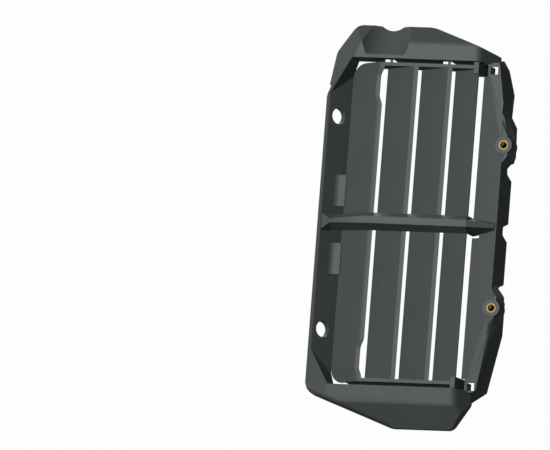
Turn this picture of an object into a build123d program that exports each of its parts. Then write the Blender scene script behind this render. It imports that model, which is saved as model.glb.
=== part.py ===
from build123d import *
from math import radians, sin, tan
import os

# Radiator guard for an off-road motorcycle: a moulded frame, a clipped-in louvre and two brass inserts.
# +Z runs up the long side, -Y faces the oncoming air and +X points outboard. The origin is midway
# between the two thread inserts, on the faces of their bosses. All sizes are in millimetres.

os.makedirs("parts", exist_ok=True)

# Skin of both mouldings
wall = 2.5
fit_gap = 0.25

# Thread inserts and their bosses
insert_pitch = 124.0
insert_diameter = 8.0
insert_length = 9.0
insert_bore = 5.0
insert_mouth = 0.5
boss_diameter = 13.0
boss_length = 14.0
boss_draft = 3.5
boss_pad_y = 10.0
boss_pad_draft = 25.0

# Opening for the air, from the lip of the inner wall to the outer flange
opening_width = 116.1
opening_half_height = 124.4
flange_width = 21.4
flange_x = -flange_width
lip_x = flange_x - opening_width

# Depths, measured back from the boss faces
lip_y = 2.8
throat_y = 19.0
cap_back_y = 16.6
upper_lug_y = 25.5
middle_skirt_y = 14.0

# Inner funnel wall
funnel_run = 12.8
corner_run = 16.3
lip_corner_drop = 26.9
throat_corner_drop = 11.9
skirt_step = 3.1
skirt_depth = 2.1

# Screw holes in the funnel wall, and the cut-outs in the skirt beside them
screw_hole_diameter = 12.0
screw_hole_pitch = 162.0
screw_hole_run = 5.9
screw_collar_diameter = 17.5
screw_collar_length = 4.7
skirt_gap = 47.0
upper_lug_round = 9.0

# Caps: the band over the opening, the fold and the slope behind it
top_fold_y = -3.4
top_fold_rise = 12.6
top_rise = 26.9
top_crest_y = 13.1
bottom_edge_y = -3.4
bottom_fold_y = -1.9
bottom_fold_rise = 13.1
bottom_rise = 29.8
bottom_crest_y = 10.9
cap_end_x = -9.6
cap_end_run = 13.5
cap_end_depth = 21.8
cap_round = 6.0

# Hose scoop in the top cap
scoop_radius = 21.0
scoop_inset = 41.4
scoop_stand_off = 16.3

# Outer flange and its side wall
flange_y = 10.0
flange_edge_x = -1.0
flange_edge_y = 1.2
side_back_y = 29.6
side_draft = 3.2
side_x = 0.75
boss_pad_x = 2.8
scallop_pitch = 46.2
scallop_centre_z = -0.5
scallop_depth = 12.0
scallop_mouth = 13.5
scallop_floor = 6.0

# Mid rib
rib_front_y = -11.6
rib_outer_front_y = -9.4
rib_face = 5.2
rib_end_face = 3.0
rib_back = 13.5
rib_flare = 12.0
rib_gap = 0.4

# Louvre
slat_count = 4
slat_angle = 34.0
slat_thickness = 1.9
slat_front_y = -1.9
slat_depth = 16.5
slat_corner = 11.0
throat_gap = 1.1
last_slat_trim = 2.8
panel_end_gap = 2.0
rail_thickness = 2.6
rail_gap = 2.9
rail_back_y = 16.1
relief_depth = 1.8
relief_length = 31.0
relief_ramp = 9.0
relief_drop = 2.5
nose_round = 6.5
post_width = 3.3
post_height = 8.4
post_reach = 4.2

# Clips, hooks and tabs that hold the louvre
clip_spread = 44.8
clip_inset = 41.6
clip_width = 1.7
clip_offset = 0.7
clip_thickness = 2.0
clip_back_y = 16.0
clip_notch = 10.2
clip_notch_y = 5.0
clip_barb = 0.9
clip_rise = 2.0
hook_slot_width = 5.8
hook_slot_height = 6.2
hook_slot_edge = 5.1
post_gap = 2.1
hook_inset = 4.1
hook_centre_z = -0.7
hook_width = 5.0
hook_thickness = 2.6
hook_gap = 0.6
hook_barb = 1.3
tab_height = 23.7
tab_spread = 51.8
tab_centre_z = -0.9
tab_overlap = 0.9
tab_thickness = 1.2
tab_round = 5.5


def facet(first, second, third):
    """Plane through three points, facing the side from which they run anticlockwise."""
    a, b, c = Vector(*first), Vector(*second), Vector(*third)
    return Plane(origin=a, z_dir=(b - a).cross(c - a))


# Places that follow from the sizes above
skirt_x = lip_x - skirt_step
throat_x = lip_x + funnel_run
corner_x = lip_x + corner_run
lip_corner_z = opening_half_height - lip_corner_drop
throat_corner_z = opening_half_height - throat_corner_drop
top_z = opening_half_height + top_rise
bottom_z = -opening_half_height - bottom_rise
clear_of_part = 2 * upper_lug_y


def hood(inset, rear_y):
    """Outer form of both caps and the inner side, drawn in by inset and closed at rear_y."""
    outline = [
        (skirt_x, 1.2 - opening_half_height),
        (skirt_x, lip_corner_z - 3.5),
        (lip_x - 1.1, opening_half_height + 6.6),
        (lip_x + 16.6, top_z),
        (lip_x + 74.0, top_z),
        (cap_end_x, opening_half_height + 5.9),
        (cap_end_x - 3.8, -opening_half_height - 10.1),
        (flange_x - 4.4, bottom_z),
        (lip_x + 64.5, bottom_z),
        (lip_x - 0.3, -opening_half_height - 5.6),
    ]
    rounds = [7, 20, 10, 7, 20, 4, 4, 7, 14, 7]
    with BuildPart() as body:
        with BuildSketch(Plane.YZ.offset(skirt_x - wall)):
            with BuildLine():
                top_fold = Vector(top_fold_y, opening_half_height + top_fold_rise)
                top_slope = Vector(top_crest_y - top_fold_y, top_rise - top_fold_rise)
                bottom_fold = Vector(bottom_fold_y, -opening_half_height - bottom_fold_rise)
                bottom_slope = Vector(bottom_crest_y - bottom_fold_y, bottom_fold_rise - bottom_rise)
                top_end = top_fold + top_slope * 2
                bottom_end = bottom_fold + bottom_slope * 2
                Polyline(
                    top_fold,
                    top_end,
                    (clear_of_part, top_end.Y),
                    (clear_of_part, bottom_end.Y),
                    bottom_end,
                    bottom_fold,
                    (bottom_edge_y, -opening_half_height),
                    close=True,
                )
            make_face()
            if inset:
                offset(amount=-inset, kind=Kind.INTERSECTION)
        extrude(amount=clear_of_part - skirt_x)
        for plane in hood_facets():
            split(bisect_by=plane.offset(-inset), keep=Keep.BOTTOM)
        if not inset:
            fillet(body.edges().filter_by(on_cap_front), radius=cap_round)
        with BuildSketch(Plane.XZ.offset(-rear_y)):
            with BuildLine():
                FilletPolyline(*outline, radius=rounds, close=True)
            make_face()
            if inset:
                offset(amount=-inset, kind=Kind.INTERSECTION)
        extrude(amount=rear_y + clear_of_part, mode=Mode.INTERSECT)
    return body.part


def on_cap_front(edge):
    """Tell whether an edge is a crease on the front of a cap, or runs on from one beside the opening."""
    middle = edge.center()
    beyond = opening_half_height + 1.0
    on_cap = abs(middle.Z) > beyond and middle.X > skirt_x
    beside = edge.bounding_box().max.Z > beyond and middle.X > throat_x
    return middle.Y < cap_back_y and (on_cap or beside)


def hood_facets():
    """Slanted outer faces of the hood: the lip, its two corners and the outboard ends of the caps."""
    lip = Plane(origin=(lip_x, lip_y, 0), z_dir=(-skirt_depth, -skirt_step, 0))
    upper_corner = facet(
        (lip_x, lip_y, lip_corner_z),
        (corner_x, top_fold_y, opening_half_height),
        (lip_x + 5.7, lip_y + 11.8, opening_half_height + 14.9),
    )
    lower_corner = facet(
        (lip_x, lip_y, -lip_corner_z),
        (skirt_x, lip_y + skirt_depth, 1.2 - opening_half_height),
        (corner_x, bottom_edge_y, -opening_half_height),
    )
    cap_end = Plane(
        origin=(cap_end_x - cap_end_run, top_fold_y, 0),
        z_dir=(cap_end_depth, -cap_end_run, 0),
    )
    return [lip, upper_corner, lower_corner, cap_end]


def duct(grow, right_x):
    """Air duct from lip to throat, with its sides moved out by grow and its outboard end at right_x."""
    lip_outline = [(lip_x, -lip_corner_z), (lip_x, lip_corner_z)]
    throat_outline = [(throat_x, -throat_corner_z), (throat_x, throat_corner_z)]
    ends = [
        (corner_x, opening_half_height),
        (right_x, opening_half_height),
        (right_x, -opening_half_height),
        (corner_x, -opening_half_height),
    ]
    with BuildPart() as body:
        with BuildSketch(Plane.XZ.offset(-lip_y)) as lip:
            with BuildLine():
                Polyline(*lip_outline, *ends, close=True)
            make_face()
            if grow:
                offset(amount=grow, kind=Kind.INTERSECTION)
        with BuildSketch(Plane.XZ.offset(-throat_y)):
            with BuildLine():
                Polyline(*throat_outline, *ends, close=True)
            make_face()
            if grow:
                offset(amount=grow, kind=Kind.INTERSECTION)
        loft(ruled=True)
        extrude(lip.sketch, amount=clear_of_part)
    return body.part


def scoop(radius):
    """Round bar whose surface is the hose scoop, lying along the front of the top cap."""
    low = Vector(0, top_fold_y, opening_half_height)
    high = Vector(0, top_crest_y, top_z)
    along = (high - low).normalized()
    outward = Vector(0, -along.Z, along.Y)
    centre = (low + high) / 2 + outward * scoop_stand_off
    centre.X = lip_x + scoop_inset
    with BuildPart() as body:
        with BuildSketch(Plane(origin=centre, x_dir=(1, 0, 0), z_dir=along)):
            Circle(radius)
        extrude(amount=clear_of_part, both=True)
    return body.part


def trough(inset, rear_y):
    """Solid form of the outer flange and its side, drawn in by inset at the front, side and ends."""
    pad_z = insert_pitch / 2
    left_x = flange_x - 3 * wall
    end_z = far_z + 3 * wall
    outline = [
        (left_x, -end_z),
        (left_x, end_z),
        (side_x - 15.3, end_z),
        (side_x - 7.9, opening_half_height - 1.4),
        (side_x - 2.6, opening_half_height - 20.0),
        (side_x - 3.2, pad_z + 25.5),
        (boss_pad_x - 0.8, pad_z + 17.5),
        (boss_pad_x, pad_z - 4.5),
        (side_x, pad_z - 12.0),
        (side_x, 16.0 - pad_z),
        (boss_pad_x, 10.0 - pad_z),
        (boss_pad_x, -pad_z - 16.5),
        (side_x - 6.5, 1.8 - opening_half_height),
        (side_x - 23.5, -end_z),
    ]
    with BuildPart() as body:
        with BuildSketch(Plane.XZ.offset(-rear_y)):
            with BuildLine():
                Polyline(*outline, close=True)
            make_face()
            if inset:
                offset(amount=-inset, kind=Kind.INTERSECTION)
        extrude(amount=rear_y + boss_diameter, taper=side_draft)
        end = Vector(0, flange_edge_y, opening_half_height - 0.6)
        top = Plane(origin=end, z_dir=(0, -0.225, 0.974))
        bottom = Plane(origin=(0, end.Y, -end.Z), z_dir=(0, -0.225, -0.974))
        for plane in flange_facets() + [top, bottom]:
            split(bisect_by=plane.offset(-inset), keep=Keep.BOTTOM)
    return body.part


def flange_facets():
    """Front face of the flange, and the two facets that take off each of its corners."""
    run = flange_edge_x - flange_x
    fall = flange_y - flange_edge_y
    planes = [Plane(origin=(flange_x, flange_y, 0), z_dir=(-fall, -run, 0))]
    for side in (1, -1):
        start = Vector(flange_x + 8.6, flange_y - 8.6 * fall / run, side * (opening_half_height - 24.4))
        planes.append(Plane(origin=start, z_dir=(-0.12, -0.985, side * 0.09)))
        edge = Vector(flange_edge_x - 4.9, flange_edge_y + 2.8, side * (opening_half_height - 21.1))
        planes.append(Plane(origin=edge, z_dir=(0.93, -0.296, side * 0.216)))
    return planes


def rib_section(x, front_y, back_y, front_height, back_height):
    """Corner points of one cross-section of the mid rib."""
    return [
        (x, front_y, -front_height / 2),
        (x, front_y, front_height / 2),
        (x, back_y, back_height / 2),
        (x, back_y, -back_height / 2),
    ]


def rib():
    """Mid rib: it rises from the lip, crosses in front of the louvre and runs down onto the flange."""
    behind_y = slat_front_y - rib_gap
    edge_back_y = flange_edge_y + 2.8
    stations = [
        rib_section(lip_x + 0.6, lip_y - 0.2, lip_y + 4.2, rib_flare, rib_flare + 3.0),
        rib_section(lip_x + 7.6, lip_y - 3.0, lip_y + 7.2, rib_end_face, rib_back - 1.5),
        rib_section(lip_x + 35.7, rib_front_y, behind_y, rib_face, rib_back),
        rib_section(flange_x - 1.0, rib_outer_front_y, behind_y, rib_face, rib_back),
        rib_section(flange_x + 0.2, rib_outer_front_y + 0.4, flange_y + 1.0, rib_face, rib_back),
        rib_section(flange_edge_x - 1.3, flange_edge_y - 1.8, edge_back_y, rib_end_face, rib_face + 2.8),
    ]
    with BuildPart() as body:
        for near, far in zip(stations, stations[1:]):
            for points in (near, far):
                with BuildSketch(Plane.YZ.offset(points[0][0])):
                    Polygon(*[(y, z) for _, y, z in points], align=None)
            loft(ruled=True)
    return body.part


def slab(x_range, y_range, z_range):
    """Straight block between three pairs of limits."""
    with BuildPart() as body:
        with BuildSketch(Plane.XY.offset(z_range[0])):
            Polygon(
                (x_range[0], y_range[0]),
                (x_range[1], y_range[0]),
                (x_range[1], y_range[1]),
                (x_range[0], y_range[1]),
                align=None,
            )
        extrude(amount=z_range[1] - z_range[0])
    return body.part


def scoop_skin():
    """Skin that lines the hose scoop behind the face of the top cap."""
    with BuildPart() as body:
        add(scoop(scoop_radius + wall))
        add(hood(0, upper_lug_y), mode=Mode.INTERSECT)
    return body.part


def duct_skin():
    """Walls of the air duct inside the hood, up to the flange."""
    with BuildPart() as body:
        add(duct(wall, flange_x - wall))
        add(hood(0, upper_lug_y), mode=Mode.INTERSECT)
    return body.part


def flange_skin():
    """Outer flange with its side wall and closed ends, open at the back and along its inner edge."""
    with BuildPart() as body:
        add(trough(0, side_back_y))
        add(trough(wall, side_back_y), mode=Mode.SUBTRACT)
        split(bisect_by=Plane.YZ.offset(flange_x), keep=Keep.TOP)
    return body.part


def tab(centre_z):
    """Ledge on the funnel wall that the first slat rests behind, led into the wall by a round."""
    ledge_y = tab_tip_y - tab_thickness
    root_x = lip_x + (ledge_y - lip_y) / wall_slope
    lead = 0.4 * tab_round
    with BuildPart() as body:
        with BuildSketch(Plane.XY.offset(centre_z - tab_height / 2)):
            with BuildLine():
                FilletPolyline(
                    (root_x - lead, ledge_y - lead * wall_slope),
                    (root_x, ledge_y),
                    (tab_tip_x, ledge_y),
                    (tab_tip_x, tab_tip_y),
                    (root_x - fit_gap, tab_tip_y),
                    radius=[0, tab_round, fit_gap, 0, 0],
                    close=True,
                )
            make_face()
        extrude(amount=tab_height)
    return body.part


def boss_pad(side):
    """Sloping pad that carries the upper (1) or lower (-1) boss out past the side wall."""
    middle = insert_pitch / 2
    outline = [
        (-boss_diameter / 2, middle - 21.0),
        (side_x - 2.2, middle - 21.0),
        (boss_diameter / 2 + 0.5, middle - 10.0),
        (boss_diameter / 2 + 0.9, middle - 5.0),
        (boss_diameter / 2, middle + 7.0),
        (side_x - 5.2, middle + 33.0),
        (-boss_diameter / 2, middle + 33.0),
    ]
    with BuildPart() as body:
        with BuildSketch(Plane.XZ.offset(-boss_pad_y)):
            Polygon(*[(x, side * z) for x, z in outline], align=None)
        extrude(amount=boss_pad_y - wall / 2, taper=boss_pad_draft)
        split(bisect_by=flange_facets()[0], keep=Keep.BOTTOM)
    return body.part


def screw_plane(side):
    """Plane on the front of the funnel wall at the upper (1) or lower (-1) screw hole, facing backwards."""
    return Plane(
        origin=(screw_x, screw_y, side * screw_hole_pitch / 2),
        x_dir=(0, 0, 1),
        z_dir=(lip_y - throat_y, funnel_run, 0),
    )


def screw_collar(side):
    """Collar behind the funnel wall round a screw hole, kept inside the form of the hood."""
    with BuildPart() as body:
        with BuildSketch(screw_plane(side).offset(wall / 4)):
            Circle(screw_collar_diameter / 2)
        extrude(amount=screw_collar_length - wall / 4)
        add(hood(0, upper_lug_y), mode=Mode.INTERSECT)
    return body.part


def skirt_trim():
    """What is cut from the back of the inner skirt: bays at the screw holes and steps between its lugs."""
    bay_y = lip_y + skirt_depth + 1.1
    outer_z = (screw_hole_pitch + skirt_gap) / 2
    inner_z = (screw_hole_pitch - skirt_gap) / 2
    rounds = [0, 0, upper_lug_round, wall, wall, 2 * wall, 2 * wall, wall, wall, 2 * wall, 0, 0]
    with BuildPart() as body:
        with BuildSketch(Plane.YZ.offset(skirt_x - wall)):
            with BuildLine():
                FilletPolyline(
                    (clear_of_part, top_z),
                    (upper_lug_y, top_z),
                    (upper_lug_y, outer_z),
                    (bay_y, outer_z),
                    (bay_y, inner_z),
                    (middle_skirt_y, inner_z),
                    (middle_skirt_y, -inner_z),
                    (bay_y, -inner_z),
                    (bay_y, -outer_z),
                    (cap_back_y, -outer_z),
                    (cap_back_y, bottom_z - wall),
                    (clear_of_part, bottom_z - wall),
                    radius=rounds,
                    close=True,
                )
            make_face()
        extrude(amount=skirt_step + 1.5 * wall)
    return body.part


def first_slat():
    """Innermost slat, with rounded back corners and nose, and a shallow relief near each end of the nose."""
    back_x = first_slat_x - slat_run
    floor_y = slat_front_y + relief_depth
    with BuildPart() as body:
        with BuildSketch(Plane.XY.offset(-rail_z)):
            Polygon(*slat_outline(first_slat_x), align=None)
        extrude(amount=2 * rail_z)
        nose = body.edges().filter_by(Axis.Z).group_by(Axis.Y)[0].sort_by(Axis.X)[0]
        fillet(nose, radius=nose_round)
        with BuildSketch(Plane.XZ.offset(-rail_back_y)):
            with Locations(((back_x + first_slat_x + slat_face) / 2, 0)):
                RectangleRounded(slat_run + slat_face, 2 * rail_z, slat_corner)
            with Locations((first_slat_x + slat_face, 0)):
                Rectangle(slat_run, 2 * rail_z)
        extrude(amount=2 * rail_back_y, mode=Mode.INTERSECT)
        for side in (1, -1):
            start = rail_z - relief_drop
            with BuildSketch(Plane.YZ.offset(back_x)):
                with BuildLine():
                    rise = Spline(
                        (slat_front_y, side * start),
                        (floor_y, side * (start - relief_ramp)),
                        tangents=[(0, -side), (0, -side)],
                    )
                    flat = Line(rise @ 1, (floor_y, side * (start - relief_length + relief_ramp)))
                    fall = Spline(
                        flat @ 1,
                        (slat_front_y, side * (start - relief_length)),
                        tangents=[(0, -side), (0, -side)],
                    )
                    Polyline(
                        fall @ 1,
                        (slat_front_y - wall, side * (start - relief_length)),
                        (slat_front_y - wall, side * start),
                        rise @ 0,
                    )
                make_face()
            extrude(amount=slat_run + 2 * slat_face, mode=Mode.SUBTRACT)
    return body.part


def slat_outline(front_x):
    """Corners of the section of a slat whose front face starts at front_x."""
    return [
        (front_x, slat_front_y),
        (front_x + slat_face, slat_front_y),
        (front_x + slat_face - slat_run, slat_front_y + slat_depth),
        (front_x - slat_run, slat_front_y + slat_depth),
    ]


def panel_end(side):
    """Wedge post at the outboard end of a rail, with a barbed hook that reaches into a slot of the flange."""
    arm_y = flange_y + 1.1 * wall + hook_gap
    barb_x = slot_x + fit_gap
    root_x = panel_right_x - post_width
    with BuildPart() as body:
        with BuildSketch(Plane.XY.offset(post_z)):
            Polygon(
                (root_x, slat_front_y),
                (panel_right_x + fit_gap, slat_front_y),
                (panel_right_x + post_reach, arm_y + 2 * hook_gap),
                (panel_right_x + post_reach, rail_back_y),
                (root_x, rail_back_y),
                align=None,
            )
        extrude(amount=post_height)
        if side < 0:
            mirror(about=Plane.XY, mode=Mode.REPLACE)
        with BuildSketch(Plane.XY.offset(hook_centre_z + side * hook_reach_z - hook_width / 2)):
            Polygon(
                (root_x, arm_y),
                (barb_x, arm_y),
                (barb_x, flange_y - 1.8),
                (barb_x + hook_barb, flange_y + 0.4),
                (barb_x + hook_barb, arm_y + hook_thickness),
                (root_x, arm_y + hook_thickness),
                align=None,
            )
        extrude(amount=hook_width)
    return body.part


def clip(x):
    """Springy finger on the upper rail, whose cross head catches on the duct wall beside its notch."""
    stem = (x + clip_offset - clip_width / 2, x + clip_offset + clip_width / 2)
    depth = (clip_back_y - clip_thickness, clip_back_y)
    top = far_z + clip_rise
    head = clip_notch / 2 + clip_barb
    with BuildPart() as body:
        add(slab(stem, depth, (rail_z - rail_thickness / 2, top)))
        add(slab((x - head, x + head), depth, (far_z + fit_gap, top)))
    return body.part


def scallop(centre_z):
    """Notch with sloping sides in the back edge of the side wall."""
    floor_y = side_back_y - scallop_depth
    with BuildPart() as body:
        with BuildSketch(Plane.YZ.offset(flange_edge_x - 3 * wall)):
            with BuildLine():
                FilletPolyline(
                    (side_back_y + wall, centre_z - scallop_mouth / 2 - 1.0),
                    (floor_y, centre_z - scallop_floor / 2),
                    (floor_y, centre_z + scallop_floor / 2),
                    (side_back_y + wall, centre_z + scallop_mouth / 2 + 1.0),
                    radius=[0, scallop_floor / 3, scallop_floor / 3, 0],
                    close=True,
                )
            make_face()
        extrude(amount=6 * wall)
    return body.part


# Places on the funnel wall and along the opening
wall_slope = (throat_y - lip_y) / funnel_run
screw_x = lip_x + screw_hole_run
screw_y = lip_y + screw_hole_run * wall_slope
notch_x = [lip_x + clip_inset, lip_x + clip_inset + clip_spread]
slot_x = flange_x + hook_slot_edge
far_z = opening_half_height + wall

# Slats, set from the throat to the flange
slat_run = slat_depth / tan(radians(slat_angle))
slat_face = slat_thickness / sin(radians(slat_angle))
first_slat_x = throat_x + throat_gap + slat_run
panel_right_x = flange_x - panel_end_gap
slat_pitch = (panel_right_x + last_slat_trim - first_slat_x) / (slat_count - 1)
rail_z = opening_half_height - rail_gap
post_z = opening_half_height - 2 * fit_gap - post_height
hook_reach_z = opening_half_height - hook_inset
tab_tip_x = first_slat_x - slat_run + tab_overlap
tab_tip_y = slat_front_y + slat_depth - tab_overlap * tan(radians(slat_angle)) - fit_gap / 0.8

# Moulded frame
with BuildPart() as guard_frame:
    # Skin of the caps and the inner side, with the hose scoop pressed into it
    add(hood(0, upper_lug_y))
    add(hood(wall, upper_lug_y + wall), mode=Mode.SUBTRACT)
    add(scoop_skin())
    add(scoop(scoop_radius), mode=Mode.SUBTRACT)
    add(
        slab(
            (lip_x + wall / 2, clear_of_part),
            (cap_back_y, clear_of_part),
            (bottom_z - wall, top_z + wall),
        ),
        mode=Mode.SUBTRACT,
    )
    # Air duct through the skin, clear across to the outboard side
    add(duct_skin())
    add(duct(0, clear_of_part), mode=Mode.SUBTRACT)
    add(
        slab(
            (flange_x - 2 * wall, clear_of_part),
            (-clear_of_part, clear_of_part),
            (-opening_half_height, opening_half_height),
        ),
        mode=Mode.SUBTRACT,
    )
    add(skirt_trim(), mode=Mode.SUBTRACT)
    # Outer flange with its bosses
    add(flange_skin())
    for side in (1, -1):
        add(boss_pad(side))
    with BuildSketch(Plane.XZ):
        with GridLocations(0, insert_pitch, 1, 2):
            Circle(boss_diameter / 2)
    extrude(amount=-boss_length, taper=-boss_draft)
    with BuildSketch(Plane.XZ):
        with GridLocations(0, insert_pitch, 1, 2):
            Circle(insert_diameter / 2)
    extrude(amount=-insert_length - wall / 2, mode=Mode.SUBTRACT)
    for step in (-1, 0, 1):
        add(scallop(scallop_centre_z + step * scallop_pitch), mode=Mode.SUBTRACT)
    slot_far_x = slot_x + hook_slot_width
    through_flange = (flange_edge_y, flange_y + 2 * wall)
    for side in (1, -1):
        low = hook_centre_z + side * hook_reach_z - hook_slot_height / 2
        add(
            slab((slot_x, slot_far_x), through_flange, (low, low + hook_slot_height)),
            mode=Mode.SUBTRACT,
        )
        ends = sorted((side * (post_z - hook_gap), side * opening_half_height))
        add(
            slab((flange_x - wall, slot_x - post_gap), through_flange, ends),
            mode=Mode.SUBTRACT,
        )
    # Mid rib, with a small relief in the flange edge below it, and the ledges in front of the first slat
    add(
        slab((flange_x - wall, flange_x + 6.0), through_flange, (-rib_back / 2 - 1.4, 0)),
        mode=Mode.SUBTRACT,
    )
    add(rib())
    for side in (1, -1):
        add(tab(tab_centre_z + side * tab_spread / 2))
    # Screw holes square to the funnel wall
    for side in (1, -1):
        add(screw_collar(side))
        with BuildSketch(screw_plane(side).offset(-wall)):
            Circle(screw_hole_diameter / 2)
        extrude(amount=screw_collar_length + 2 * wall, mode=Mode.SUBTRACT)
    # Notches for the clips of the louvre
    for x in notch_x:
        add(
            slab(
                (x - clip_notch / 2, x + clip_notch / 2),
                (clip_notch_y, throat_y + wall),
                (opening_half_height - wall, far_z + wall / 4),
            ),
            mode=Mode.SUBTRACT,
        )

# Louvre: slanted slats between two rails
with BuildPart() as louvre_panel:
    for index in range(1, slat_count):
        with BuildSketch(Plane.XY.offset(-rail_z)):
            Polygon(*slat_outline(first_slat_x + index * slat_pitch), align=None)
        extrude(amount=2 * rail_z)
    rail_lean = 1 / tan(radians(slat_angle))
    rail_back_left = first_slat_x + slat_face - slat_run
    for low in (rail_z - rail_thickness, -rail_z):
        with BuildSketch(Plane.XY.offset(low)):
            Polygon(
                (first_slat_x + slat_face - 1.0, slat_front_y),
                (panel_right_x + wall, slat_front_y),
                (panel_right_x + wall, rail_back_y),
                (rail_back_left + slat_corner, rail_back_y),
                (rail_back_left + slat_corner - 1.0, slat_front_y + slat_depth - slat_corner / rail_lean),
                align=None,
            )
        extrude(amount=rail_thickness)
    split(bisect_by=Plane.YZ.offset(panel_right_x), keep=Keep.BOTTOM)
    add(first_slat())
    for side in (1, -1):
        add(panel_end(side))
    for x in notch_x:
        add(clip(x))

# Brass thread inserts, flush with the boss faces
insert_places = {"upper_thread_insert": insert_pitch / 2, "lower_thread_insert": -insert_pitch / 2}
for insert_name, insert_z in insert_places.items():
    with BuildPart() as thread_insert:
        with BuildSketch(Plane.XZ):
            with Locations((0, insert_z)):
                Circle(insert_diameter / 2)
                Circle(insert_bore / 2, mode=Mode.SUBTRACT)
        extrude(amount=-insert_length)
        front_rings = thread_insert.edges().filter_by(GeomType.CIRCLE).group_by(Axis.Y)[0]
        chamfer(front_rings.sort_by(SortBy.RADIUS)[0], length=insert_mouth)
    thread_insert.part.label = insert_name
    export_step(thread_insert.part, f"parts/{insert_name}.step")

guard_frame.part.label = "guard_frame"
export_step(guard_frame.part, "parts/guard_frame.step")
louvre_panel.part.label = "louvre_panel"
export_step(louvre_panel.part, "parts/louvre_panel.step")
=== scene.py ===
"""Looks of a motorcycle radiator guard: moulded frame, clipped-in louvre and threaded brass inserts."""

import logging
import math
from collections.abc import Sequence
from dataclasses import dataclass
from enum import Enum
from typing import Any

import bmesh
import bpy
from mathutils import Matrix, Vector

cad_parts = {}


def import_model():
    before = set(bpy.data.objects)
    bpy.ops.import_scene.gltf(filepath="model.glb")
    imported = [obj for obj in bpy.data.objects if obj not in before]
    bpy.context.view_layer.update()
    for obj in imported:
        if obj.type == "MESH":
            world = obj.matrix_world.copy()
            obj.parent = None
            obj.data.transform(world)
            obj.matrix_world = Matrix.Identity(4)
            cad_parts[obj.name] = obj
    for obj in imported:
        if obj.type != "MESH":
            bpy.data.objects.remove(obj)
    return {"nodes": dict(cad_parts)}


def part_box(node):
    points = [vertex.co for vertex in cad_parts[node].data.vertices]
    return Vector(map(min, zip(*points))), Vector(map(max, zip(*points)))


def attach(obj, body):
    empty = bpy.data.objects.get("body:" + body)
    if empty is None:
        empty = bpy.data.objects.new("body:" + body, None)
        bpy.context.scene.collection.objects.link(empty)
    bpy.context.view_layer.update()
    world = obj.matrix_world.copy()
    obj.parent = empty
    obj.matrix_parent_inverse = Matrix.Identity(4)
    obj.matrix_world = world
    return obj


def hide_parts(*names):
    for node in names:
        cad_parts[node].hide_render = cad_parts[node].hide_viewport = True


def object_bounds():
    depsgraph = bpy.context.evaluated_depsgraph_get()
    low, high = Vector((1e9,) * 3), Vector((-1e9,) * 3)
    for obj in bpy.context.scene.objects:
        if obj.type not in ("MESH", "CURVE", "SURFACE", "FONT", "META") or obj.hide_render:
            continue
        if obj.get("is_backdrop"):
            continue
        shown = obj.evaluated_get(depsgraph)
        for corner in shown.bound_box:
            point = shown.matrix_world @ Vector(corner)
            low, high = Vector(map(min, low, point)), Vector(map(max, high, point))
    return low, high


LOG = logging.getLogger("radiator_guard")

MM = 0.001
SAME_POINT = 0.001 * MM
BODY = "root"

# Blender's wave texture turns by this angle over one unit of its scale.
WAVE_RADIANS = 20


class Side(Enum):
    """The two ends of the outer flange, each with its own thread insert."""

    UPPER = "upper_thread_insert"
    LOWER = "lower_thread_insert"


class Slot(Enum):
    """Material slots of the record."""

    FRAME = "frame_plastic"
    LOUVRE = "louvre_plastic"
    INSERT = "insert_brass"


def linear(colour: str) -> tuple[float, float, float, float]:
    """Turn an sRGB hex colour into linear light.

    Args:
        colour: six hex digits with a leading hash sign.

    Returns:
        Red, green, blue and full alpha.
    """
    parts = [int(colour[i : i + 2], 16) / 255 for i in (1, 3, 5)]
    red, green, blue = (p / 12.92 if p <= 0.04045 else ((p + 0.055) / 1.055) ** 2.4 for p in parts)
    return red, green, blue, 1.0


def add_node(
    tree: bpy.types.NodeTree,
    kind: str,
    settings: dict[str, Any] | None = None,
    links: dict[str, bpy.types.NodeSocket] | None = None,
) -> bpy.types.Node:
    """Add a node, set its properties and plain inputs, and link its other inputs.

    Args:
        tree: node tree of a material or of the world.
        kind: Blender's name for the type of node.
        settings: names of inputs or properties, with their values.
        links: names of inputs, with the outputs that feed them.

    Returns:
        The new node.
    """
    node = tree.nodes.new(kind)
    for name, value in (settings or {}).items():
        if name in node.inputs:
            node.inputs[name].default_value = value
        else:
            setattr(node, name, value)
    for name, socket in (links or {}).items():
        tree.links.new(socket, node.inputs[name])
    return node


def per_metre(size_mm: float) -> float:
    """Texture scale at which one feature of a pattern is size_mm wide."""
    return 1 / (size_mm * MM)


def blank_material(name: str) -> bpy.types.Material:
    """Make a material with an empty node tree."""
    material = bpy.data.materials.new(name)
    material.use_nodes = True
    material.node_tree.nodes.clear()
    return material


def clouds(
    tree: bpy.types.NodeTree, size_mm: float, detail: float, place: bpy.types.NodeSocket
) -> bpy.types.NodeSocket:
    """Add a pattern of soft clouds.

    Args:
        tree: node tree of a material.
        size_mm: width of one cloud.
        detail: how many finer layers it has.
        place: the coordinates that it follows.

    Returns:
        Its grey value.
    """
    settings = {"Scale": per_metre(size_mm), "Detail": detail}
    return add_node(tree, "ShaderNodeTexNoise", settings, {"Vector": place}).outputs["Fac"]


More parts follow.
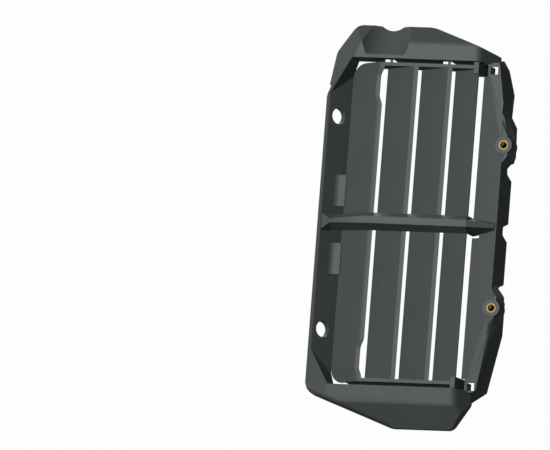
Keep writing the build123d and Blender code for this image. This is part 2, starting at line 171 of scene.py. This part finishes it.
@dataclass(frozen=True)
class MouldedPlastic:
    """Glass-filled nylon, injection moulded in a spark-eroded tool.

    It is matt, with a fine even grain that breaks up the highlights and a faint cloudiness in its colour.
    """

    name: str
    colour: str
    cloud_colour: str
    roughness: float = 0.6
    roughness_swing: float = 0.06
    cloud_mm: float = 26.0
    grain_mm: float = 0.9
    grain_height_mm: float = 0.03
    grain_strength: float = 0.5
    sink_mm: float = 30.0
    sink_height_mm: float = 0.12
    sink_strength: float = 0.6
    ior: float = 1.53

    def material(self) -> bpy.types.Material:
        """Build the node material.

        Returns:
            The finished material.
        """
        material = blank_material(self.name)
        tree = material.node_tree
        place = add_node(tree, "ShaderNodeTexCoord").outputs["Object"]
        cloud = clouds(tree, self.cloud_mm, 3.0, place)
        # The real grain is about 0.1 mm; it is drawn coarser here so that it shows.
        grain = clouds(tree, self.grain_mm, 2.0, place)
        sink = clouds(tree, self.sink_mm, 0.0, place)
        colour = add_node(
            tree,
            "ShaderNodeMixRGB",
            {"Color1": linear(self.colour), "Color2": linear(self.cloud_colour)},
            {"Fac": cloud},
        )
        roughness = add_node(
            tree,
            "ShaderNodeMapRange",
            {
                "To Min": self.roughness - self.roughness_swing,
                "To Max": self.roughness + self.roughness_swing,
            },
            {"Value": grain},
        )
        waves = add_node(
            tree,
            "ShaderNodeBump",
            {"Strength": self.sink_strength, "Distance": self.sink_height_mm * MM},
            {"Height": sink},
        )
        bump = add_node(
            tree,
            "ShaderNodeBump",
            {"Strength": self.grain_strength, "Distance": self.grain_height_mm * MM},
            {"Height": grain, "Normal": waves.outputs["Normal"]},
        )
        shader = add_node(
            tree,
            "ShaderNodeBsdfPrincipled",
            {"IOR": self.ior, "Metallic": 0.0},
            {
                "Base Color": colour.outputs["Color"],
                "Roughness": roughness.outputs["Result"],
                "Normal": bump.outputs["Normal"],
            },
        )
        add_node(tree, "ShaderNodeOutputMaterial", links={"Surface": shader.outputs["BSDF"]})
        return material


@dataclass(frozen=True)
class TurnedBrass:
    """Free-cutting brass, turned on a lathe and gone a little dull.

    Fine rings round its axis stretch the highlights, and the tarnish darkens it in small clouds.
    """

    name: str
    axis_x_mm: float
    axis_z_mm: float
    colour: str = "#8f7a52"
    tarnish: str = "#735f3b"
    roughness_bright: float = 0.46
    roughness_dull: float = 0.64
    ring_mm: float = 0.45
    ring_height_mm: float = 0.01
    ring_strength: float = 0.35
    tarnish_mm: float = 1.6

    def material(self) -> bpy.types.Material:
        """Build the node material.

        Returns:
            The finished material.
        """
        material = blank_material(self.name)
        tree = material.node_tree
        place = add_node(tree, "ShaderNodeTexCoord").outputs["Object"]
        centred = add_node(
            tree,
            "ShaderNodeMapping",
            {"Location": (-self.axis_x_mm * MM, 0.0, -self.axis_z_mm * MM)},
            {"Vector": place},
        )
        # Turning marks are about 0.1 mm apart; they are drawn wider here so that they show.
        waves_per_metre = math.tau / WAVE_RADIANS * per_metre(self.ring_mm)
        rings = add_node(
            tree,
            "ShaderNodeTexWave",
            {"wave_type": "RINGS", "rings_direction": "Y", "Scale": waves_per_metre},
            {"Vector": centred.outputs["Vector"]},
        )
        dull = clouds(tree, self.tarnish_mm, 3.0, centred.outputs["Vector"])
        colour = add_node(
            tree,
            "ShaderNodeMixRGB",
            {"Color1": linear(self.colour), "Color2": linear(self.tarnish)},
            {"Fac": dull},
        )
        roughness = add_node(
            tree,
            "ShaderNodeMapRange",
            {"To Min": self.roughness_bright, "To Max": self.roughness_dull},
            {"Value": dull},
        )
        bump = add_node(
            tree,
            "ShaderNodeBump",
            {"Strength": self.ring_strength, "Distance": self.ring_height_mm * MM},
            {"Height": rings.outputs["Fac"]},
        )
        shader = add_node(
            tree,
            "ShaderNodeBsdfPrincipled",
            {"Metallic": 1.0},
            {
                "Base Color": colour.outputs["Color"],
                "Roughness": roughness.outputs["Result"],
                "Normal": bump.outputs["Normal"],
            },
        )
        add_node(tree, "ShaderNodeOutputMaterial", links={"Surface": shader.outputs["BSDF"]})
        return material


@dataclass(frozen=True)
class PaleFloor:
    """Board of a light table: a pale, even studio floor from any side."""

    name: str = "light_table"
    colour: str = "#f2f2f0"
    roughness: float = 0.9
    glow: float = 0.75

    def material(self) -> bpy.types.Material:
        """Build the plain floor material.

        Returns:
            The finished material.
        """
        material = blank_material(self.name)
        tree = material.node_tree
        pale = linear(self.colour)
        shader = add_node(
            tree,
            "ShaderNodeBsdfPrincipled",
            {
                "Base Color": pale,
                "Roughness": self.roughness,
                "Emission Color": pale,
                "Emission Strength": self.glow,
            },
        )
        add_node(tree, "ShaderNodeOutputMaterial", links={"Surface": shader.outputs["BSDF"]})
        return material


def deselect_all() -> None:
    """Leave nothing selected, so that an operator acts only on the piece in hand."""
    bpy.ops.object.select_all(action="DESELECT")


def pick(piece: bpy.types.Object) -> None:
    """Make one piece the only selected and active object."""
    deselect_all()
    piece.select_set(True)
    bpy.context.view_layer.objects.active = piece


def apply_modifiers(piece: bpy.types.Object) -> None:
    """Apply every modifier of a piece in order."""
    pick(piece)
    for name in [modifier.name for modifier in piece.modifiers]:
        bpy.ops.object.modifier_apply(modifier=name)


def dress(piece: bpy.types.Object, material: bpy.types.Material) -> None:
    """Give a piece its one material.

    Args:
        piece: the piece to dress.
        material: its finish.
    """
    piece.data.materials.clear()
    piece.data.materials.append(material)


def inside(edge: bmesh.types.BMEdge, low_mm: Sequence[float], high_mm: Sequence[float]) -> bool:
    """Tell whether the middle of an edge lies in a box.

    Args:
        edge: an edge of a skin.
        low_mm: lowest corner of the box.
        high_mm: highest corner of the box.

    Returns:
        True if it does.
    """
    middle = (edge.verts[0].co + edge.verts[1].co) / 2 / MM
    return all(low <= place <= high for low, place, high in zip(low_mm, middle, high_mm))


@dataclass(frozen=True)
class SoftStep:
    """Small step in a moulding that runs softly into the faces around it.

    Attributes:
        low_mm: lowest corner of the box that holds the step.
        high_mm: highest corner of that box.
        steepest_degrees: the sharpest fold that is still blended.
    """

    low_mm: tuple[float, float, float]
    high_mm: tuple[float, float, float]
    steepest_degrees: float

    def blend(self, piece: bpy.types.Object) -> None:
        """Shade the step's edges smoothly on one piece."""
        mesh = bmesh.new()
        mesh.from_mesh(piece.data)
        steepest = math.radians(self.steepest_degrees)
        for edge in mesh.edges:
            if inside(edge, self.low_mm, self.high_mm) and edge.calc_face_angle() < steepest:
                edge.smooth = True
        mesh.to_mesh(piece.data)
        mesh.free()


@dataclass(frozen=True)
class CornerRound:
    """Round along the front edge of the outline, where the side wall meets the front faces.

    Attributes:
        low_mm: lowest corner of the box that holds the stretch to be rounded.
        high_mm: highest corner of that box.
        width_mm: how far the round reaches into the faces beside it.
        segments: flats across the round.
        front_normal_y: a face whose normal's y is less than this looks forwards.
        wall_normal_y: a face whose normal's y is nearer to 0 than this is a side wall.
    """

    low_mm: tuple[float, float, float]
    high_mm: tuple[float, float, float]
    width_mm: float = 3.4
    segments: int = 5
    front_normal_y: float = -0.5
    wall_normal_y: float = 0.2

    def cut(self, piece: bpy.types.Object) -> None:
        """Round the edges of one piece that belong to the stretch."""
        mesh = bmesh.new()
        mesh.from_mesh(piece.data)
        weight = mesh.edges.layers.float.new("bevel_weight_edge")
        for edge in mesh.edges:
            edge[weight] = float(self.holds(edge))
        mesh.to_mesh(piece.data)
        mesh.free()
        rounding = piece.modifiers.new("outline_round", "BEVEL")
        rounding.width = self.width_mm * MM
        rounding.segments = self.segments
        rounding.limit_method = "WEIGHT"
        rounding.use_clamp_overlap = False
        rounding.loop_slide = False
        apply_modifiers(piece)

    def holds(self, edge: bmesh.types.BMEdge) -> bool:
        """Tell whether an edge lies in the box, between a side wall and a front face.

        Args:
            edge: an edge of the skin.

        Returns:
            True if it is to be rounded.
        """
        facing = sorted(face.normal.y for face in edge.link_faces)
        between = facing[0] < self.front_normal_y and abs(facing[-1]) < self.wall_normal_y
        return between and inside(edge, self.low_mm, self.high_mm)


@dataclass
class Moulding:
    """One moulded piece: the solid's own skin, with whole flat faces and crisp tool-cut edges.

    Attributes:
        node: the solid that it stands for.
        name: the piece's own name.
        finish: its plastic.
        slot: the record's slot of that plastic; not used.
        flat_degrees: faces that turn less than this are one flat face.
        crease_degrees: the least fold between two faces that counts as an edge.
        rounds: stretches of its outline whose front edge is rounded.
        steps: small steps that are blended into the faces around them.
    """

    node: str
    name: str
    finish: MouldedPlastic
    slot: Slot
    flat_degrees: float = 0.6
    crease_degrees: float = 28.0
    rounds: tuple[CornerRound, ...] = ()
    steps: tuple[SoftStep, ...] = ()

    def build(self, nodes: dict[str, bpy.types.Object]) -> bpy.types.Object:
        """Copy the solid, round and blend what it asks for, shade it and dress it.

        Args:
            nodes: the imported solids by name.

        Returns:
            The finished piece.
        """
        piece = self.copy_of(nodes[self.node])
        for stretch in self.rounds:
            stretch.cut(piece)
        bpy.ops.object.shade_smooth_by_angle(angle=math.radians(self.crease_degrees))
        for step in self.steps:
            step.blend(piece)
        # At this weight the largest face at a corner decides how it is shaded, so flat faces look flat.
        level = piece.modifiers.new("flat_faces", "WEIGHTED_NORMAL")
        level.weight = 100
        level.keep_sharp = True
        level.use_face_influence = True
        apply_modifiers(piece)
        dress(piece, self.finish.material())
        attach(piece, BODY)
        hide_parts(self.node)
        return piece

    def copy_of(self, solid: bpy.types.Object) -> bpy.types.Object:
        """Copy a solid's mesh into a new object, as one closed skin with flat faces in one piece.

        Args:
            solid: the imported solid.

        Returns:
            The copy, picked.
        """
        piece = bpy.data.objects.new(self.name, solid.data.copy())
        bpy.context.scene.collection.objects.link(piece)
        pick(piece)
        bpy.ops.object.mode_set(mode="EDIT")
        bpy.ops.mesh.select_all(action="SELECT")
        bpy.ops.mesh.customdata_custom_splitnormals_clear()
        bpy.ops.mesh.remove_doubles(threshold=SAME_POINT)
        bpy.ops.mesh.dissolve_limited(angle_limit=math.radians(self.flat_degrees))
        bpy.ops.object.mode_set(mode="OBJECT")
        return piece


@dataclass
class ThreadInsert:
    """Brass insert: a turned body with a broad front face, and the screw thread inside it.

    Attributes:
        side: which of the two it is.
        finish: its brass.
        major_mm: diameter of the thread's root in the insert.
        minor_mm: diameter of the thread's crest.
        pitch_mm: advance of the thread in one turn.
        mouth_mm: bevels at both ends of the land.
        land_mm: depth at which the plain land in front of the thread ends.
        rim_mm: bevels of the outer rims.
        root_overlap_mm: how far the ridge sinks into the body.
        root_share: half the ridge's width at its root, as a share of the pitch.
        crest_share: half its width at its crest, as a share of the pitch.
        facets: flats round the body.
        turn_steps: flats in one turn of the thread.
        crease_degrees: the least fold between two faces that counts as an edge.
    """

    side: Side
    finish: TurnedBrass
    major_mm: float = 6.0
    minor_mm: float = 4.9
    pitch_mm: float = 1.0
    mouth_mm: float = 0.2
    land_mm: float = 0.45
    rim_mm: float = 0.3
    root_overlap_mm: float = 0.05
    root_share: float = 0.46
    crest_share: float = 0.1
    facets: int = 72
    turn_steps: int = 40
    crease_degrees: float = 35.0

    def build(self) -> list[bpy.types.Object]:
        """Make the body and the thread, and put them in place of the plain insert.

        Returns:
            The two finished pieces.
        """
        low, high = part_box(self.side.value)
        material = self.finish.material()
        body = self.turned_body(low, high)
        thread = self.thread(low, high)
        for piece in (body, thread):
            dress(piece, material)
            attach(piece, BODY)
        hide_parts(self.side.value)
        return [body, thread]

    def turned_body(self, low: Vector, high: Vector) -> bpy.types.Object:
        """Turn the body from its section: broken rims, a flat face and a land in front of the thread.

        Args:
            low: lowest corner of the plain insert.
            high: highest corner of the plain insert.

        Returns:
            The body, with its place in its mesh.
        """
        outer = (high.x - low.x) / 2
        depth = high.y - low.y
        bore = self.minor_mm / 2 * MM
        root = self.major_mm / 2 * MM
        mouth = self.mouth_mm * MM
        land = self.land_mm * MM
        rim = self.rim_mm * MM
        section = [
            (bore + mouth, 0.0),
            (outer - rim, 0.0),
            (outer, rim),
            (outer, depth - rim),
            (outer - rim, depth),
            (root, depth),
            (root, land + mouth),
            (bore, land),
            (bore, mouth),
        ]
        piece = self.draw("body", section)
        self.wind(piece, self.facets, 1, 0.0)
        self.set_in_place(piece, low, high, 0.0)
        return piece

    def draw(self, name: str, section: list[tuple[float, float]]) -> bpy.types.Object:
        """Draw a section as a closed outline beside the Z axis.

        Args:
            name: the piece's name after the insert's own.
            section: its corners, each with a radius and a place along the axis.

        Returns:
            The outline.
        """
        deselect_all()
        bpy.ops.mesh.primitive_circle_add(vertices=len(section), fill_type="NOTHING")
        piece = bpy.context.object
        piece.name = f"{self.side.value}_{name}"
        for vertex, (radius, along) in zip(piece.data.vertices, section):
            vertex.co = (radius, 0.0, along)
        return piece

    def wind(self, piece: bpy.types.Object, steps: int, turns: int, climb: float) -> None:
        """Sweep a section round the Z axis. A sweep that doesn't climb closes on itself.

        Args:
            piece: the section.
            steps: facets in one turn.
            turns: number of turns.
            climb: advance along the axis in one turn.
        """
        sweep = piece.modifiers.new("sweep", "SCREW")
        sweep.axis = "Z"
        sweep.screw_offset = climb
        sweep.iterations = turns
        sweep.steps = steps
        sweep.render_steps = steps
        sweep.use_merge_vertices = climb == 0
        sweep.merge_threshold = SAME_POINT
        apply_modifiers(piece)

    def set_in_place(self, piece: bpy.types.Object, low: Vector, high: Vector, depth: float) -> None:
        """Turn a swept piece into its hole, with its place in its mesh, and shade it.

        Args:
            piece: the piece, swept round Z.
            low: lowest corner of the plain insert.
            high: highest corner of the plain insert.
            depth: how far behind the front face the sweep starts.
        """
        bpy.ops.object.mode_set(mode="EDIT")
        bpy.ops.mesh.select_all(action="SELECT")
        bpy.ops.mesh.normals_make_consistent(inside=False)
        bpy.ops.object.mode_set(mode="OBJECT")
        centre = (low + high) / 2
        mouth = Vector((centre.x, low.y + depth, centre.z))
        piece.matrix_world = Matrix.Translation(mouth) @ Matrix.Rotation(math.radians(-90), 4, "X")
        bpy.ops.object.transform_apply(location=True, rotation=True, scale=True)
        bpy.ops.object.shade_smooth_by_angle(angle=math.radians(self.crease_degrees))

    def thread(self, low: Vector, high: Vector) -> bpy.types.Object:
        """Wind the ridge of the thread along the bore and close its two ends.

        Args:
            low: lowest corner of the plain insert.
            high: highest corner of the plain insert.

        Returns:
            The thread, with its place in its mesh.
        """
        root = (self.major_mm / 2 + self.root_overlap_mm) * MM
        crest = self.minor_mm / 2 * MM
        pitch = self.pitch_mm * MM
        half_root = self.root_share * pitch
        half_crest = self.crest_share * pitch
        start = (self.land_mm + self.mouth_mm) * MM + half_root
        turns = int((high.y - low.y - start - half_root) / pitch)
        section = [(crest, -half_crest), (root, -half_root), (root, half_root), (crest, half_crest)]
        piece = self.draw("thread", section)
        self.wind(piece, self.turn_steps, turns, pitch)
        bpy.ops.object.mode_set(mode="EDIT")
        bpy.ops.mesh.select_mode(type="EDGE")
        bpy.ops.mesh.select_all(action="DESELECT")
        bpy.ops.mesh.select_non_manifold()
        bpy.ops.mesh.fill_holes(sides=len(section))
        bpy.ops.object.mode_set(mode="OBJECT")
        self.set_in_place(piece, low, high, start)
        return piece


@dataclass
class Camera:
    """Orthographic camera in the photograph's direction, with the guard where the photograph has it.

    Attributes:
        azimuth_degrees: turn from straight ahead, towards +X.
        elevation_degrees: height above the level, so a camera that looks up has a negative one.
        roll_degrees: turn of the picture.
        mm_per_pixel: scale of the photograph.
        image_width: the photograph's width in pixels.
        image_height: its height in pixels.
        origin_u: the origin's place in the picture, from the left.
        origin_v: the origin's place in the picture, from the top.
        distance: how far away the camera stands, in metres.
        reach: how far it sees, in metres.
    """

    azimuth_degrees: float = 14.7
    elevation_degrees: float = -8.8
    roll_degrees: float = 4.37
    mm_per_pixel: float = 0.75
    image_width: int = 550
    image_height: int = 450
    origin_u: float = 497.14
    origin_v: float = 226.41
    distance: float = 0.9
    reach: float = 20.0

    def place(self) -> bpy.types.Object:
        """Add the camera and make it the scene's own.

        Returns:
            The camera.
        """
        azimuth = math.radians(self.azimuth_degrees)
        elevation = math.radians(self.elevation_degrees)
        roll = math.radians(self.roll_degrees)
        level = Vector((math.cos(azimuth), math.sin(azimuth), 0))
        look = Vector(
            (
                -math.sin(azimuth) * math.cos(elevation),
                math.cos(azimuth) * math.cos(elevation),
                -math.sin(elevation),
            )
        )
        upright = level.cross(look)
        right = level * math.cos(roll) + upright * math.sin(roll)
        up = upright * math.cos(roll) - level * math.sin(roll)
        pixel = self.mm_per_pixel * MM
        centre = right * (self.image_width / 2 - self.origin_u) * pixel
        centre += up * (self.origin_v - self.image_height / 2) * pixel
        lens = bpy.data.cameras.new("camera")
        lens.type = "ORTHO"
        lens.ortho_scale = self.image_width * pixel
        lens.clip_end = self.reach
        camera = bpy.data.objects.new("camera", lens)
        turn = Matrix((right, up, -look)).transposed().to_4x4()
        camera.matrix_world = Matrix.Translation(centre - look * self.distance) @ turn
        bpy.context.scene.collection.objects.link(camera)
        bpy.context.scene.camera = camera
        return camera


@dataclass(frozen=True)
class SoftBox:
    """One square studio light that points at the guard.

    Attributes:
        name: its name.
        towards: where it stands, as a direction from the guard.
        distance: how far away it stands, in metres.
        size: length of its side, in metres.
        watts: its power.
        shaded_by_all: whether every piece shades it, or only the ones with deep bores.
        lights_all: whether every piece catches it, or only the ones with deep bores.
    """

    name: str
    towards: tuple[float, float, float]
    distance: float
    size: float
    watts: float
    shaded_by_all: bool = True
    lights_all: bool = True

    def place(self, target: Vector, deep: bpy.types.Collection) -> bpy.types.Object:
        """Hang the light and point it.

        Args:
            target: the point that it lights.
            deep: the pieces with deep bores.

        Returns:
            The light.
        """
        lamp = bpy.data.lights.new(self.name, "AREA")
        lamp.shape = "SQUARE"
        lamp.size = self.size
        lamp.energy = self.watts
        light = bpy.data.objects.new(self.name, lamp)
        if not self.shaded_by_all:
            light.light_linking.blocker_collection = deep
        if not self.lights_all:
            light.light_linking.receiver_collection = deep
        direction = Vector(self.towards).normalized()
        light.location = target + direction * self.distance
        light.rotation_euler = direction.to_track_quat("Z", "Y").to_euler()
        bpy.context.scene.collection.objects.link(light)
        return light


@dataclass
class Studio:
    """Plain pale floor, near-white surroundings and soft light from the front left.

    Only the inserts shade the key light, and one more light falls on them alone, to show their bores.

    Attributes:
        floor_drop: how far below the guard the floor lies, in metres, clear of views from below.
        floor_size: length of the floor's side, in metres.
        seen_white: the surroundings as the camera sees them.
        room_light: colour of the light that they give.
        room_strength: strength of that light.
        lights: the lights.
    """

    floor_drop: float = 1.2
    floor_size: float = 12.0
    seen_white: str = "#fdfdfd"
    room_light: str = "#dfe6ea"
    room_strength: float = 0.125
    lights: tuple[SoftBox, ...] = (
        SoftBox("key", (-0.27, -0.92, 0.26), 4.0, 1.2, 118.0, shaded_by_all=False),
        SoftBox("back", (-0.5, 0.9, 0.5), 1.8, 1.0, 16.0),
        SoftBox("bores", (0.24, -0.95, -0.15), 4.0, 0.6, 90.0, shaded_by_all=False, lights_all=False),
    )

    def build(self, low: Vector, high: Vector, inserts: list[bpy.types.Object]) -> None:
        """Set up the floor, the surroundings and the lights.

        Args:
            low: lowest corner of the guard.
            high: highest corner of the guard.
            inserts: the pieces with deep bores.
        """
        scene = bpy.context.scene
        scene.view_settings.view_transform = "Standard"
        scene.view_settings.look = "None"
        self.lay_floor(low, high)
        self.surround()
        deep = bpy.data.collections.new("deep_bores")
        for piece in inserts:
            deep.objects.link(piece)
        for light in self.lights:
            light.place((low + high) / 2, deep)

    def lay_floor(self, low: Vector, high: Vector) -> None:
        """Lay a pale floor under the guard, which its mounts hold in the air."""
        deselect_all()
        middle = (low + high) / 2
        bpy.ops.mesh.primitive_plane_add(
            size=self.floor_size, location=(middle.x, middle.y, low.z - self.floor_drop)
        )
        floor = bpy.context.object
        floor.name = "floor"
        floor.data.materials.append(PaleFloor().material())
        floor.visible_diffuse = False
        floor.visible_glossy = False
        floor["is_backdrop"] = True

    def surround(self) -> None:
        """Show near-white surroundings, and let them light the guard only softly."""
        world = bpy.data.worlds.new("studio")
        bpy.context.scene.world = world
        world.use_nodes = True
        tree = world.node_tree
        tree.nodes.clear()
        seen = add_node(tree, "ShaderNodeBackground", {"Color": linear(self.seen_white), "Strength": 1.0})
        glow = add_node(
            tree, "ShaderNodeBackground", {"Color": linear(self.room_light), "Strength": self.room_strength}
        )
        path = add_node(tree, "ShaderNodeLightPath")
        mix = add_node(tree, "ShaderNodeMixShader", links={"Fac": path.outputs["Is Camera Ray"]})
        tree.links.new(glow.outputs["Background"], mix.inputs[1])
        tree.links.new(seen.outputs["Background"], mix.inputs[2])
        add_node(tree, "ShaderNodeOutputWorld", links={"Surface": mix.outputs["Shader"]})


def box_rows() -> list[list[float]]:
    """Lowest and highest corners of the whole object, as plain lists."""
    return [[float(value) for value in corner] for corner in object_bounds()]


def main() -> None:
    """Dress the guard piece by piece and set up the studio around it."""
    logging.basicConfig(level=logging.INFO, format="%(name)s: %(message)s")
    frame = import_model()
    cad_box = box_rows()
    low, high = (Vector(corner) for corner in cad_box)

    mouldings = [
        Moulding(
            "guard_frame",
            "frame_moulding",
            MouldedPlastic("frame_nylon", "#4c5152", "#535859"),
            Slot.FRAME,
            rounds=(CornerRound((-138.5, -12.0, -160.0), (-72.0, 12.0, -126.0)),),
            steps=(
                SoftStep((-6.0, 0.0, 73.0), (0.5, 9.0, 90.0), steepest_degrees=65.0),
                SoftStep((-6.0, 0.0, -90.0), (0.5, 9.0, -73.0), steepest_degrees=100.0),
            ),
        ),
        Moulding(
            "louvre_panel",
            "louvre_moulding",
            MouldedPlastic("louvre_nylon", "#4a4f50", "#515657"),
            Slot.LOUVRE,
        ),
    ]
    for moulding in mouldings:
        piece = moulding.build(frame["nodes"])
        LOG.info("%s: %d faces", piece.name, len(piece.data.polygons))

    inserts = []
    for side in Side:
        corner_low, corner_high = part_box(side.value)
        axis = (corner_low + corner_high) / 2
        brass = TurnedBrass(f"{side.value}_brass", axis.x / MM, axis.z / MM)
        inserts += ThreadInsert(side, brass).build()
    for piece in inserts:
        LOG.info("%s: %d faces", piece.name, len(piece.data.polygons))

    Studio().build(low, high, inserts)
    Camera().place()
    LOG.info("boxes written")


if __name__ == "__main__":
    main()
